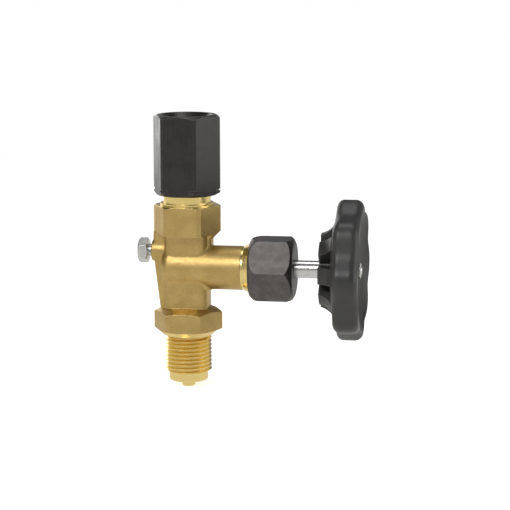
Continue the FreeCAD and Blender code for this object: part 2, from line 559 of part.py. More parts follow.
def clamp_sleeve():
    """The hexagonal sleeve that draws the gauge and the body together."""
    bar = hexagon(HEX_FLATS, SLEEVE_Z, SLEEVE_TOP_Z, HEX_EDGE_ROUND, SLEEVE_TURN)
    outline = turned([
        (SLEEVE_Z, 0),
        (SLEEVE_Z, SLEEVE_FACE_RADIUS),
        (SLEEVE_Z + SLEEVE_BOTTOM_CHAMFER, SLEEVE_CORNER_RADIUS),
        (SLEEVE_Z + MARK_HEIGHT, SLEEVE_CORNER_RADIUS),
        (SLEEVE_Z + MARK_HEIGHT, MARK_RADIUS),
        (SLEEVE_Z + MARK_HEIGHT + MARK_WIDTH, MARK_RADIUS),
        (SLEEVE_Z + MARK_HEIGHT + MARK_WIDTH, SLEEVE_CORNER_RADIUS),
        (SLEEVE_TOP_Z - SLEEVE_TOP_CHAMFER, SLEEVE_CORNER_RADIUS),
        (SLEEVE_TOP_Z, SLEEVE_FACE_RADIUS),
        (SLEEVE_TOP_Z, 0),
    ])
    socket_z = NECK_END_Z + SOCKET_GAP
    lower_bore = PIPE_THREAD_RADIUS + RUN_CLEARANCE
    relief_radius = PIPE_THREAD_RADIUS + SOCKET_RELIEF_STEP
    hollow = turned([
        (SLEEVE_Z - CUT_MARGIN, 0),
        (SLEEVE_Z - CUT_MARGIN, lower_bore),
        (NECK_END_Z, lower_bore),
        (NECK_END_Z, relief_radius),
        (socket_z, relief_radius),
        (socket_z, 0),
    ])
    mouth = turned([
        (SLEEVE_TOP_Z - SOCKET_CHAMFER - PIPE_THREAD_DEPTH, PIPE_ROOT_RADIUS),
        (SLEEVE_TOP_Z, PIPE_THREAD_RADIUS + SOCKET_CHAMFER),
        (SLEEVE_TOP_Z + CUT_MARGIN, PIPE_THREAD_RADIUS + SOCKET_CHAMFER),
        (SLEEVE_TOP_Z + CUT_MARGIN, 0),
        (SLEEVE_TOP_Z - SOCKET_CHAMFER - PIPE_THREAD_DEPTH, 0),
    ])
    core = sectored([
        (socket_z - CUT_MARGIN, 0),
        (socket_z - CUT_MARGIN, PIPE_ROOT_RADIUS),
        (SLEEVE_TOP_Z + CUT_MARGIN, PIPE_ROOT_RADIUS),
        (SLEEVE_TOP_Z + CUT_MARGIN, 0),
    ])
    groove = thread_groove(
        PIPE_ROOT_RADIUS, PIPE_THREAD_DEPTH, PIPE_THREAD_PITCH,
        socket_z - PIPE_THREAD_PITCH / 2, SLEEVE_TOP_Z + PIPE_THREAD_PITCH, False)
    return bar.common(outline).cut([hollow, mouth]).cut(core).cut(groove)


def needle_tip():
    """The needle, which does not turn: cone, collar, and a shank held inside the stem."""
    ring_start = RETAINER_X
    ring_end = RETAINER_X + RING_WIDTH
    groove_radius = RING_INNER_RADIUS - RUN_CLEARANCE
    return turned([
        (NEEDLE_TIP_X, 0),
        (NEEDLE_TIP_X, NEEDLE_TIP_RADIUS),
        (NEEDLE_COLLAR_X, NEEDLE_COLLAR_RADIUS),
        (NEEDLE_SHANK_X, NEEDLE_COLLAR_RADIUS),
        (NEEDLE_SHANK_X, NEEDLE_SHANK_RADIUS),
        (ring_start - RUN_CLEARANCE, NEEDLE_SHANK_RADIUS),
        (ring_start - RUN_CLEARANCE, groove_radius),
        (ring_end + RUN_CLEARANCE, groove_radius),
        (ring_end + RUN_CLEARANCE, NEEDLE_SHANK_RADIUS),
        (NEEDLE_SHANK_X + NEEDLE_SHANK_LENGTH, NEEDLE_SHANK_RADIUS),
        (NEEDLE_SHANK_X + NEEDLE_SHANK_LENGTH, 0),
    ], STEM_AXIS, ALONG_X)


def needle_retaining_ring():
    """The round ring that keeps the needle in the stem and lets the stem turn behind it."""
    ring_end = RETAINER_X + RING_WIDTH
    return tube(RING_INNER_RADIUS, RING_OUTER_RADIUS, RETAINER_X, ring_end, STEM_AXIS, ALONG_X)


def valve_stem():
    """The stem: thread in the body, polished shaft through the packing, square and stud for the wheel."""
    thread_radius = CHAMBER_RADIUS - RUN_CLEARANCE
    round_part = turned([
        (STEM_START_X, 0),
        (STEM_START_X, thread_radius - STEM_CHAMFER),
        (STEM_START_X + STEM_CHAMFER, thread_radius),
        (STEM_THREAD_END_X, thread_radius),
        (STEM_THREAD_END_X, STEM_RADIUS),
        (STEM_SHOULDER_X - STEM_CHAMFER, STEM_RADIUS),
        (STEM_SHOULDER_X, STEM_RADIUS - STEM_CHAMFER),
        (STEM_SHOULDER_X, 0),
    ], STEM_AXIS, ALONG_X)
    half = STEM_SQUARE / 2
    corner = FreeCAD.Vector(STEM_SHOULDER_X, -half, STEM_AXIS_Z - half)
    square = Part.makeBox(SQUARE_END_X - STEM_SHOULDER_X, STEM_SQUARE, STEM_SQUARE, corner)
    square = square.common(rod(STEM_RADIUS, STEM_SHOULDER_X, SQUARE_END_X, STEM_AXIS, ALONG_X))
    stud = turned([
        (SQUARE_END_X, 0),
        (SQUARE_END_X, STUD_RADIUS),
        (STUD_END_X - STEM_CHAMFER, STUD_RADIUS),
        (STUD_END_X, STUD_RADIUS - STEM_CHAMFER),
        (STUD_END_X, 0),
    ], STEM_AXIS, ALONG_X)
    shank_room = NEEDLE_SHANK_RADIUS + RUN_CLEARANCE
    ring_room = RING_OUTER_RADIUS + RUN_CLEARANCE
    socket = turned([
        (STEM_START_X - CUT_MARGIN, 0),
        (STEM_START_X - CUT_MARGIN, shank_room),
        (RETAINER_X - 2 * RUN_CLEARANCE, shank_room),
        (RETAINER_X - 2 * RUN_CLEARANCE, ring_room),
        (RETAINER_X + RING_WIDTH + 2 * RUN_CLEARANCE, ring_room),
        (RETAINER_X + RING_WIDTH + 2 * RUN_CLEARANCE, shank_room),
        (NEEDLE_SHANK_X + NEEDLE_SHANK_LENGTH + FREE_CLEARANCE, shank_room),
        (NEEDLE_SHANK_X + NEEDLE_SHANK_LENGTH + FREE_CLEARANCE, 0),
    ], STEM_AXIS, ALONG_X)
    return round_part.fuse([square, stud]).cut(socket)


def packing_base_washer():
    """The steel washer at the bottom of the packing chamber."""
    inner = STEM_RADIUS + FREE_CLEARANCE
    end = SHOULDER_X + BASE_WASHER_THICKNESS
    return tube(inner, PACKING_CHAMBER_RADIUS, SHOULDER_X, end, STEM_AXIS, ALONG_X)


def bulged(start, end, bulge):
    """An arc in the X-Z plane between two points, bulging away from the Z axis by a share of its chord."""
    chord = end - start
    outward = FreeCAD.Vector(chord.z, 0, -chord.x).normalize()
    middle = (start + end) * 0.5 + outward * (bulge * chord.Length)
    return Part.Arc(start, middle, end).toShape()


def packing_ring(start, thickness, hollow_back, ridged_front):
    """A packing ring; its back may be hollowed to a groove, and its front may rise to a ridge."""
    middle = (STEM_BORE_RADIUS + PACKING_CHAMBER_RADIUS) / 2
    end = start + thickness
    back = [(start, STEM_BORE_RADIUS), (start, PACKING_CHAMBER_RADIUS)]
    front = [(end, PACKING_CHAMBER_RADIUS), (end, STEM_BORE_RADIUS)]
    if hollow_back:
        back.insert(1, (start + V_RING_PEAK, middle))
    if ridged_front:
        front.insert(1, (end + V_RING_PEAK, middle))
    return turned(back + front, STEM_AXIS, ALONG_X)


def packing_header_ring():
    """The first packing ring, flat behind and ridged in front."""
    return packing_ring(HEADER_X, HEADER_THICKNESS, False, True)


def packing_v_ring(index):
    """One of the stacked V-shaped packing rings."""
    return packing_ring(V_RING_START_X + index * V_RING_STEP, V_RING_THICKNESS, True, True)


def packing_adapter_ring():
    """The last packing ring, grooved behind and flat in front, under the follower."""
    return packing_ring(ADAPTER_X, ADAPTER_THICKNESS, True, False)


def gland_follower():
    """The brass follower that the gland nut pushes against the packing."""
    sleeve_radius = PACKING_CHAMBER_RADIUS - RUN_CLEARANCE
    flange_radius = GLAND_THREAD_RADIUS - FOLLOWER_FLANGE_CLEARANCE
    flange_end = FLANGE_X + FOLLOWER_FLANGE_LENGTH
    return turned([
        (FOLLOWER_X, STEM_BORE_RADIUS),
        (FOLLOWER_X, sleeve_radius),
        (FLANGE_X, sleeve_radius),
        (FLANGE_X, flange_radius),
        (flange_end, flange_radius),
        (flange_end, STEM_BORE_RADIUS),
    ], STEM_AXIS, ALONG_X)


def gland_nut():
    """The steel nut on the branch, with a rounded chamfer on both ends."""
    bar = hexagon(HEX_FLATS, NUT_START_X, NUT_END_X, HEX_EDGE_ROUND, NUT_TURN, STEM_AXIS, ALONG_X)
    back = FreeCAD.Vector(NUT_BACK_RADIUS, 0, NUT_START_X)
    back_shoulder = FreeCAD.Vector(HEX_CORNER, 0, NUT_START_X + NUT_BACK_CHAMFER)
    front_shoulder = FreeCAD.Vector(HEX_CORNER, 0, NUT_END_X - NUT_FRONT_CHAMFER)
    front = FreeCAD.Vector(NUT_FRONT_RADIUS, 0, NUT_END_X)
    front_centre = FreeCAD.Vector(0, 0, NUT_END_X)
    back_centre = FreeCAD.Vector(0, 0, NUT_START_X)
    edges = [
        bulged(back, back_shoulder, NUT_CHAMFER_BULGE),
        Part.makeLine(back_shoulder, front_shoulder),
        bulged(front_shoulder, front, NUT_CHAMFER_BULGE),
        Part.makeLine(front, front_centre),
        Part.makeLine(front_centre, back_centre),
        Part.makeLine(back_centre, back),
    ]
    outline = Part.Face(Part.Wire(edges)).revolve(ORIGIN, ALONG_Z, 360)
    outline = onto_axis(outline, STEM_AXIS, ALONG_X)
    bore = GLAND_THREAD_RADIUS + RUN_CLEARANCE
    hollow = turned([
        (NUT_START_X - CUT_MARGIN, 0),
        (NUT_START_X - CUT_MARGIN, NUT_MOUTH_RADIUS),
        (NUT_START_X + NUT_MOUTH_DEPTH, NUT_MOUTH_RADIUS),
        (NUT_START_X + NUT_MOUTH_DEPTH + NUT_MOUTH_RADIUS - bore, bore),
        (NUT_WALL_X, bore),
        (NUT_WALL_X, STEM_RADIUS + FREE_CLEARANCE),
        (NUT_END_X + CUT_MARGIN, STEM_RADIUS + FREE_CLEARANCE),
        (NUT_END_X + CUT_MARGIN, 0),
    ], STEM_AXIS, ALONG_X)
    return bar.common(outline).cut(hollow)


def lobed_outline(height):
    """The outline of the wheel's rim as a closed smooth curve, with one lobe on +X."""
    middle = WHEEL_RADIUS - LOBE_HEIGHT / 2
    swing = LOBE_HEIGHT / 2
    steps = LOBE_COUNT * OUTLINE_POINTS_PER_LOBE
    points = []
    for step in range(steps):
        angle = 2 * math.pi * step / steps
        radius = middle + swing * math.cos(LOBE_COUNT * angle)
        points.append(FreeCAD.Vector(radius * math.cos(angle), radius * math.sin(angle), height))
    curve = Part.BSplineCurve()
    curve.interpolate(Points=points, PeriodicFlag=True)
    return Part.Wire(curve.toShape())


def ribbed_hub():
    """The ribs and core of the hub behind the disc; the ribs flare out towards it."""
    middle_x = HUB_BACK_X + HUB_LENGTH * HUB_FLARE_LENGTH_SHARE
    middle_radius = HUB_TIP_RADIUS + (HUB_FOOT_RADIUS - HUB_TIP_RADIUS) * HUB_FLARE_RADIUS_SHARE
    tip = FreeCAD.Vector(HUB_TIP_RADIUS, 0, HUB_BACK_X)
    foot = FreeCAD.Vector(HUB_FOOT_RADIUS, 0, DISC_BACK_X)
    corners = [
        foot,
        FreeCAD.Vector(HUB_FOOT_RADIUS, 0, DISC_BACK_X + DISC_FALL),
        FreeCAD.Vector(0, 0, DISC_BACK_X + DISC_FALL),
        FreeCAD.Vector(0, 0, HUB_BACK_X),
        tip,
    ]
    edges = [Part.Arc(tip, FreeCAD.Vector(middle_radius, 0, middle_x), foot).toShape()]
    edges += [Part.makeLine(first, second) for first, second in zip(corners, corners[1:])]
    flare = Part.Face(Part.Wire(edges)).revolve(ORIGIN, ALONG_Z, 360)
    ribs = []
    for step in range(LOBE_COUNT // 2):
        base = FreeCAD.Vector(-HUB_FOOT_RADIUS, -HUB_RIB_WIDTH / 2, HUB_BACK_X)
        rib = Part.makeBox(2 * HUB_FOOT_RADIUS, HUB_RIB_WIDTH, HUB_LENGTH + DISC_FALL, base)
        rib.rotate(ORIGIN, ALONG_Z, step * 180 / (LOBE_COUNT // 2))
        ribs.append(rib)
    core = rod(HUB_CORE_RADIUS, HUB_BACK_X, DISC_BACK_X + DISC_FALL)
    return core.fuse(ribs).common(flare)


def handwheel():
    """The moulded wheel: lobed rim, dished front and ribbed hub."""
    blank = Part.Face(lobed_outline(RIM_BACK_X)).extrude(ALONG_Z * RIM_WIDTH)
    back = edges_where(blank, lambda centre, box: box.ZMax < RIM_BACK_X + CUT_MARGIN)
    blank = blank.makeFillet(RIM_ROUND_BACK, back)
    front = edges_where(blank, lambda centre, box: box.ZMin > RIM_FRONT_X - CUT_MARGIN)
    blank = blank.makeFillet(RIM_ROUND_FRONT, front)
    rim_inner = WHEEL_RADIUS - LOBE_HEIGHT - RIM_ROUND_BACK
    disc = turned([
        (DISC_BACK_X, 0),
        (DISC_BACK_X, HUB_FOOT_RADIUS - DISC_FOOT_STEP),
        (DISC_BACK_X + DISC_FALL, rim_inner),
        (RIM_FRONT_X - DISH_DEPTH, rim_inner),
        (RIM_FRONT_X - DISH_DEPTH, 0),
    ])
    wheel = blank.fuse([disc, ribbed_hub()])
    lip = FreeCAD.Vector(DISH_RADIUS, 0, RIM_FRONT_X)
    floor = FreeCAD.Vector(DISH_FLOOR_RADIUS, 0, BUSH_END_X)
    sag_radius = DISH_FLOOR_RADIUS + (DISH_RADIUS - DISH_FLOOR_RADIUS) * DISH_SAG_RADIUS_SHARE
    sag = FreeCAD.Vector(sag_radius, 0, BUSH_END_X + DISH_DEPTH * DISH_SAG_DEPTH_SHARE)
    corners = [
        floor,
        FreeCAD.Vector(0, 0, BUSH_END_X),
        FreeCAD.Vector(0, 0, RIM_FRONT_X + CUT_MARGIN),
        FreeCAD.Vector(DISH_RADIUS, 0, RIM_FRONT_X + CUT_MARGIN),
        lip,
    ]
    edges = [Part.Arc(lip, sag, floor).toShape()]
    edges += [Part.makeLine(first, second) for first, second in zip(corners, corners[1:])]
    dish = Part.Face(Part.Wire(edges)).revolve(ORIGIN, ALONG_Z, 360)
    bore = turned([
        (HUB_BACK_X - CUT_MARGIN, 0),
        (HUB_BACK_X - CUT_MARGIN, STEM_RADIUS + FREE_CLEARANCE),
        (STEM_SHOULDER_X, STEM_RADIUS + FREE_CLEARANCE),
        (STEM_SHOULDER_X, BUSH_RADIUS),
        (BUSH_END_X + CUT_MARGIN, BUSH_RADIUS),
        (BUSH_END_X + CUT_MARGIN, 0),
    ])
    return onto_axis(wheel.cut([dish, bore]), STEM_AXIS, ALONG_X)


def handwheel_bush():
    """The metal bush moulded into the hub, with a square hole for the stem."""
    side = STEM_SQUARE + 2 * SQUARE_CLEARANCE
    corner = FreeCAD.Vector(STEM_SHOULDER_X - CUT_MARGIN, -side / 2, STEM_AXIS_Z - side / 2)
    hole = Part.makeBox(BUSH_LENGTH + 2 * CUT_MARGIN, side, side, corner)
    return rod(BUSH_RADIUS, STEM_SHOULDER_X, BUSH_END_X, STEM_AXIS, ALONG_X).cut(hole)


def handwheel_washer():
    """The washer under the wheel's nut."""
    inner = STUD_RADIUS + FREE_CLEARANCE
    return tube(inner, WASHER_RADIUS, BUSH_END_X, WASHER_END_X, STEM_AXIS, ALONG_X)


def handwheel_nut():
    """The thin nut that holds the wheel on the stem."""
    start = WASHER_END_X
    end = WHEEL_NUT_END_X
    corner = WHEEL_NUT_FLATS / math.sqrt(3)
    chamfer = corner - WHEEL_NUT_FLATS / 2
    bar = hexagon(WHEEL_NUT_FLATS, start, end, SMALL_HEX_ROUND, 0, STEM_AXIS, ALONG_X)
    outline = turned([
        (start, 0),
        (start, corner),
        (end - chamfer / 2, corner),
        (end, corner - chamfer),
        (end, 0),
    ], STEM_AXIS, ALONG_X)
    bore = rod(STUD_RADIUS + STACK_CLEARANCE, start - CUT_MARGIN, end + CUT_MARGIN, STEM_AXIS, ALONG_X)
    return bar.common(outline).cut(bore)


def vent_screw():
    """The vent screw: hexagon head, neck, thread, and a bleed bore that opens across the neck."""
    head_end = VENT_HEAD_X - VENT_HEAD_LENGTH
    corner = VENT_HEAD_FLATS / math.sqrt(3)
    head = hexagon(VENT_HEAD_FLATS, head_end, VENT_HEAD_X, SMALL_HEX_ROUND, 0, VENT_AXIS, ALONG_X)
    chamfer = turned([
        (head_end, 0),
        (head_end, corner - VENT_HEAD_CHAMFER),
        (head_end + VENT_HEAD_CHAMFER, corner),
        (VENT_HEAD_X - VENT_HEAD_CHAMFER / 2, corner),
        (VENT_HEAD_X, corner - VENT_HEAD_CHAMFER),
        (VENT_HEAD_X, 0),
    ], VENT_AXIS, ALONG_X)
    thread_start = -VENT_BOSS_END + FREE_CLEARANCE
    shank = turned([
        (VENT_HEAD_X, 0),
        (VENT_HEAD_X, VENT_NECK_RADIUS),
        (thread_start, VENT_NECK_RADIUS),
        (thread_start, VENT_THREAD_RADIUS),
        (VENT_SCREW_END_X - STEM_CHAMFER, VENT_THREAD_RADIUS),
        (VENT_SCREW_END_X, VENT_THREAD_RADIUS - STEM_CHAMFER),
        (VENT_SCREW_END_X, 0),
    ], VENT_AXIS, ALONG_X)
    ball_room = Part.makeSphere(VENT_BALL_RADIUS + RUN_CLEARANCE)
    ball_room.translate(FreeCAD.Vector(VENT_BALL_X, 0, VENT_AXIS_Z))
    cross_x = VENT_HEAD_X + VENT_HEAD_GAP / 2
    bleed = rod(VENT_BLEED_RADIUS, cross_x, VENT_BALL_X, VENT_AXIS, ALONG_X)
    cross_base = FreeCAD.Vector(cross_x, 0, VENT_AXIS_Z)
    cross = rod(VENT_CROSS_RADIUS, -VENT_THREAD_RADIUS, VENT_THREAD_RADIUS, cross_base, ALONG_Y)
    return head.common(chamfer).fuse(shank).cut([ball_room, bleed, cross])


def vent_ball():
    """The steel ball that shuts the vent bore."""
    ball = Part.makeSphere(VENT_BALL_RADIUS)
    ball.translate(FreeCAD.Vector(VENT_BALL_X, 0, VENT_AXIS_Z))
    return ball


write("valve_body", valve_body())
write("gauge_seal_ring", gauge_seal_ring())
write("clamp_sleeve", clamp_sleeve())
write("needle_tip", needle_tip())
write("needle_retaining_ring", needle_retaining_ring())
write("valve_stem", valve_stem())
write("packing_base_washer", packing_base_washer())
write("packing_header_ring", packing_header_ring())
for number in range(V_RING_COUNT):
    write("packing_v_ring_" + str(number + 1), packing_v_ring(number))
write("packing_adapter_ring", packing_adapter_ring())
write("gland_follower", gland_follower())
write("gland_nut", gland_nut())
write("handwheel", handwheel())
write("handwheel_bush", handwheel_bush())
write("handwheel_washer", handwheel_washer())
write("handwheel_nut", handwheel_nut())
write("vent_screw", vent_screw())
write("vent_ball", vent_ball())
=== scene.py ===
import math

import bmesh
import bpy
from mathutils import Matrix, Vector


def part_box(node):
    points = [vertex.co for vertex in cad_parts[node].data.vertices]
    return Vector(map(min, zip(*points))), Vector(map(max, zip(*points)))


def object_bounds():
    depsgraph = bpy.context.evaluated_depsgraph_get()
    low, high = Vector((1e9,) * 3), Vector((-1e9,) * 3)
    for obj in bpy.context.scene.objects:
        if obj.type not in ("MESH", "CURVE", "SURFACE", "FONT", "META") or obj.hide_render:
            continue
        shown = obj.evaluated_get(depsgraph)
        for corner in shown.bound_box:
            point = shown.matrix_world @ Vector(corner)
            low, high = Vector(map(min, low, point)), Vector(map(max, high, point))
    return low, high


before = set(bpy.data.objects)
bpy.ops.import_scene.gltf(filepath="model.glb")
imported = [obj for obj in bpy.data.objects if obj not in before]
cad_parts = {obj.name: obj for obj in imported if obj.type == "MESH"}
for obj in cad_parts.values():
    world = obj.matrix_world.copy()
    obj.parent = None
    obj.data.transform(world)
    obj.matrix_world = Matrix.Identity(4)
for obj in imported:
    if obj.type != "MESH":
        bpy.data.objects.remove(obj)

CAD_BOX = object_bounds()
MM = 0.001

# Places on the valve, in metres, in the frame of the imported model.
STEM_AXIS_HEIGHT = (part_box("gland_nut")[0].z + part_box("gland_nut")[1].z) / 2
FLOOR_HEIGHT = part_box("valve_body")[0].z
LOWER_TURNED_TOP = 23.2 * MM        # the process end is turned bright up to here
UPPER_TURNED_START = 79.2 * MM      # and the gauge end from here up
BRANCH_TURNED_START = 25.0 * MM     # and the side branch from here out
VENT_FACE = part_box("valve_body")[0].x + 0.15 * MM

# The studio.
WHITE = (1.0, 1.0, 1.0)
FLOOR_RADIUS = 3.0
FLOOR_SIDES = 96
FLOOR_DROP = 0.02 * MM              # the floor lies this far below the valve
FLOOR_FADE = (0.15, 0.9)            # it fades into white between these distances
FLOOR_SPECKS = 220.0                # specks in the paper, to a metre
FLOOR_LIFT = 0.70                   # glow that keeps the paper white under soft light
FLOOR_REFLECTED = (0.78, 0.775, 0.76)   # the floor as the valve's surfaces see it
WALL_LOW = (0.38, 0.38, 0.385)      # the studio's walls as they see them, near the floor
WALL_HIGH = (0.08, 0.08, 0.085)     # and overhead

# The camera: a long lens, a little to the right of the valve's front and a little above it.
CAMERA_AIM = Vector((30.448 * MM, 0.0, 57.245 * MM))
CAMERA_DISTANCE = 0.8456
CAMERA_AZIMUTH = math.radians(8.74)
CAMERA_ELEVATION = math.radians(9.702)
CAMERA_ROLL = math.radians(0.193)
CAMERA_CLIP = (0.01, 20.0)
SENSOR_WIDTH = 36.0                 # in millimetres, as the lens is
LENS = 134.2

BEVEL_SAMPLES = 6                   # rays that round each edge in the shading


# ---------------------------------------------------------------- node helpers


def place(tree, kind, inputs=(), **settings):
    """Adds a node, makes its settings, and sets or links its inputs."""
    node = tree.nodes.new(kind)
    for name, value in settings.items():
        setattr(node, name, value)
    for name, value in dict(inputs).items():
        socket = node.inputs[name]
        if isinstance(value, bpy.types.NodeSocket):
            tree.links.new(value, socket)
        else:
            socket.default_value = value
    return node


def maths(tree, operation, *values):
    """The result of a Math node on numbers and sockets."""
    return place(tree, "ShaderNodeMath", dict(enumerate(values)), operation=operation).outputs[0]


def ramp(tree, value, low, high, to_low=0.0, to_high=1.0):
    """value's stretch from low to high, eased, as to_low to to_high."""
    source = {"Value": value, "From Min": low, "From Max": high}
    target = {"To Min": to_low, "To Max": to_high}
    node = place(tree, "ShaderNodeMapRange", source | target, interpolation_type="SMOOTHSTEP")
    return node.outputs["Result"]


def blend_colours(tree, factor, first, second):
    """first where factor is 0, second where it is 1."""
    node = place(tree, "ShaderNodeMix", data_type="RGBA", blend_type="MIX")
    sockets = node.inputs[0], node.inputs[6], node.inputs[7]
    for socket, value in zip(sockets, (factor, first, second)):
        if isinstance(value, bpy.types.NodeSocket):
            tree.links.new(value, socket)
        else:
            socket.default_value = value
    return node.outputs[2]


def blend_numbers(tree, factor, first, second):
    """first where factor is 0, second where it is 1; both may be sockets."""
    inputs = {"Value": factor, "From Min": 0.0, "From Max": 1.0, "To Min": first, "To Max": second}
    return place(tree, "ShaderNodeMapRange", inputs).outputs["Result"]


def mixture(tree, first, share, second):
    """share of first and the rest of second."""
    parts = maths(tree, "MULTIPLY", first, share), maths(tree, "MULTIPLY", second, 1.0 - share)
    return maths(tree, "ADD", *parts)


def rgb(red, green, blue):
    """A colour socket's value from linear red, green and blue."""
    return (red, green, blue, 1.0)


def emission(tree, colour, strength):
    """A glow of one colour."""
    inputs = {"Color": rgb(*colour), "Strength": strength}
    return place(tree, "ShaderNodeEmission", inputs).outputs[0]


class Surface:
    """One procedural finish: its node tree, the object's coordinates, and its textures."""

    def __init__(self, name):
        self.material = bpy.data.materials.new(name)
        self.material.use_nodes = True
        self.tree = self.material.node_tree
        self.tree.nodes.clear()
        self.point = place(self.tree, "ShaderNodeTexCoord").outputs["Object"]
        split = place(self.tree, "ShaderNodeSeparateXYZ", {0: self.point})
        self.x, self.y, self.z = split.outputs

    def noise(self, size, detail=2.0, roughness=0.5, point=None):
        """Noise whose features are about size metres across, from 0 to 1."""
        inputs = {
            "Vector": point or self.point,
            "Scale": 1.0 / size,
            "Detail": detail,
            "Roughness": roughness,
        }
        return place(self.tree, "ShaderNodeTexNoise", inputs).outputs[0]

    def pits(self, size):
        """Distance from the nearest of scattered points size metres apart."""
        inputs = {"Vector": self.point, "Scale": 1.0 / size}
        return place(self.tree, "ShaderNodeTexVoronoi", inputs).outputs["Distance"]

    def along_and_radius(self, axis):
        """Distances along and out from the stem's axis (X) or the neck's axis (Z)."""
        tree = self.tree
        if axis == "X":
            height = maths(tree, "SUBTRACT", self.z, STEM_AXIS_HEIGHT)
            along, first, second = self.x, self.y, height
        else:
            along, first, second = self.z, self.x, self.y
        first_squared = maths(tree, "MULTIPLY", first, first)
        second_squared = maths(tree, "MULTIPLY", second, second)
        return along, maths(tree, "SQRT", maths(tree, "ADD", first_squared, second_squared))

    def turning_marks(self, axis, width):
        """Fine lines round an axis, width metres apart, as a lathe tool leaves them."""
        along, radius = self.along_and_radius(axis)
        across = {"X": along, "Y": radius, "Z": 0.0}
        lines = place(self.tree, "ShaderNodeCombineXYZ", across).outputs[0]
        return self.noise(width, detail=3.0, roughness=0.65, point=lines)

    def rounded(self, radius):
        """The surface's normal with its edges rounded over radius metres."""
        bevel = place(self.tree, "ShaderNodeBevel", {"Radius": radius}, samples=BEVEL_SAMPLES)
        return bevel.outputs[0]

    def edges(self, radius):
        """Nearly 1 along edges and 0 on flats, from how far a rounded normal leaves the true one."""
        rounded = self.rounded(radius)
        true = place(self.tree, "ShaderNodeNewGeometry").outputs["Normal"]
        both = {0: rounded, 1: true}
        dot = place(self.tree, "ShaderNodeVectorMath", both, operation="DOT_PRODUCT")
        return ramp(self.tree, dot.outputs["Value"], 0.999, 0.90)

    def bump(self, height, depth, normal=None):
        """The normal that height, from 0 to 1 over depth metres, gives."""
        inputs = {"Height": height, "Distance": depth, "Strength": 1.0}
        if normal is not None:
            inputs["Normal"] = normal
        return place(self.tree, "ShaderNodeBump", inputs).outputs[0]

    def finish(self, **inputs):
        """Ends the tree in one Principled shader with these inputs."""
        names = {
            "colour": "Base Color",
            "metallic": "Metallic",
            "roughness": "Roughness",
            "normal": "Normal",
            "specular": "Specular IOR Level",
        }
        settings = {names[key]: value for key, value in inputs.items()}
        shader = place(self.tree, "ShaderNodeBsdfPrincipled", settings).outputs[0]
        place(self.tree, "ShaderNodeOutputMaterial", {"Surface": shader})
        return self.material


# ---------------------------------------------------------------- finishes


def body_brass():
    """Blasted tan forging, turned bright at both ends, the branch's end and the vent's face."""
    s = Surface("forged_and_turned_brass")
    tree = s.tree
    low = maths(tree, "LESS_THAN", s.z, LOWER_TURNED_TOP)
    high = maths(tree, "GREATER_THAN", s.z, UPPER_TURNED_START)
    branch = maths(tree, "GREATER_THAN", s.x, BRANCH_TURNED_START)
    vent = maths(tree, "LESS_THAN", s.x, VENT_FACE)
    ends = maths(tree, "MAXIMUM", low, high)
    sides = maths(tree, "MAXIMUM", branch, vent)
    turned = maths(tree, "MAXIMUM", ends, sides)

    edges = s.edges(0.45 * MM)
    mottle = s.noise(7 * MM, detail=4.0)
    fine = s.noise(0.9 * MM, detail=4.0, roughness=0.6)
    grain = s.noise(0.22 * MM, detail=2.0, roughness=0.7)

    shade = ramp(tree, mottle, 0.36, 0.66)
    forged = blend_colours(tree, shade, rgb(0.54, 0.382, 0.138), rgb(0.62, 0.445, 0.168))
    dark = ramp(tree, fine, 0.45, 0.75, 0.0, 0.35)
    forged = blend_colours(tree, dark, forged, rgb(0.43, 0.300, 0.100))
    forged = blend_colours(tree, maths(tree, "MULTIPLY", edges, 0.6), forged, rgb(0.86, 0.66, 0.33))
    marks_z = s.turning_marks("Z", 0.16 * MM)
    marks_x = s.turning_marks("X", 0.16 * MM)
    marks = blend_numbers(tree, branch, marks_z, marks_x)
    shade = ramp(tree, marks, 0.3, 0.7)
    bright = blend_colours(tree, shade, rgb(0.84, 0.635, 0.215), rgb(0.93, 0.740, 0.310))
    bright = blend_colours(tree, maths(tree, "MULTIPLY", edges, 0.5), bright, rgb(0.98, 0.80, 0.45))
    colour = blend_colours(tree, turned, forged, bright)

    forged_roughness = ramp(tree, fine, 0.3, 0.75, 0.40, 0.54)
    bright_roughness = ramp(tree, marks, 0.3, 0.7, 0.20, 0.32)
    roughness = blend_numbers(tree, turned, forged_roughness, bright_roughness)

    forged_height = mixture(tree, fine, 0.6, grain)
    height = blend_numbers(tree, turned, forged_height, maths(tree, "MULTIPLY", marks, 0.12))
    rounding = blend_numbers(tree, turned, 0.35 * MM, 0.08 * MM)
    normal = s.bump(height, 0.055 * MM, s.rounded(rounding))
    return s.finish(colour=colour, metallic=1.0, roughness=roughness, normal=normal)


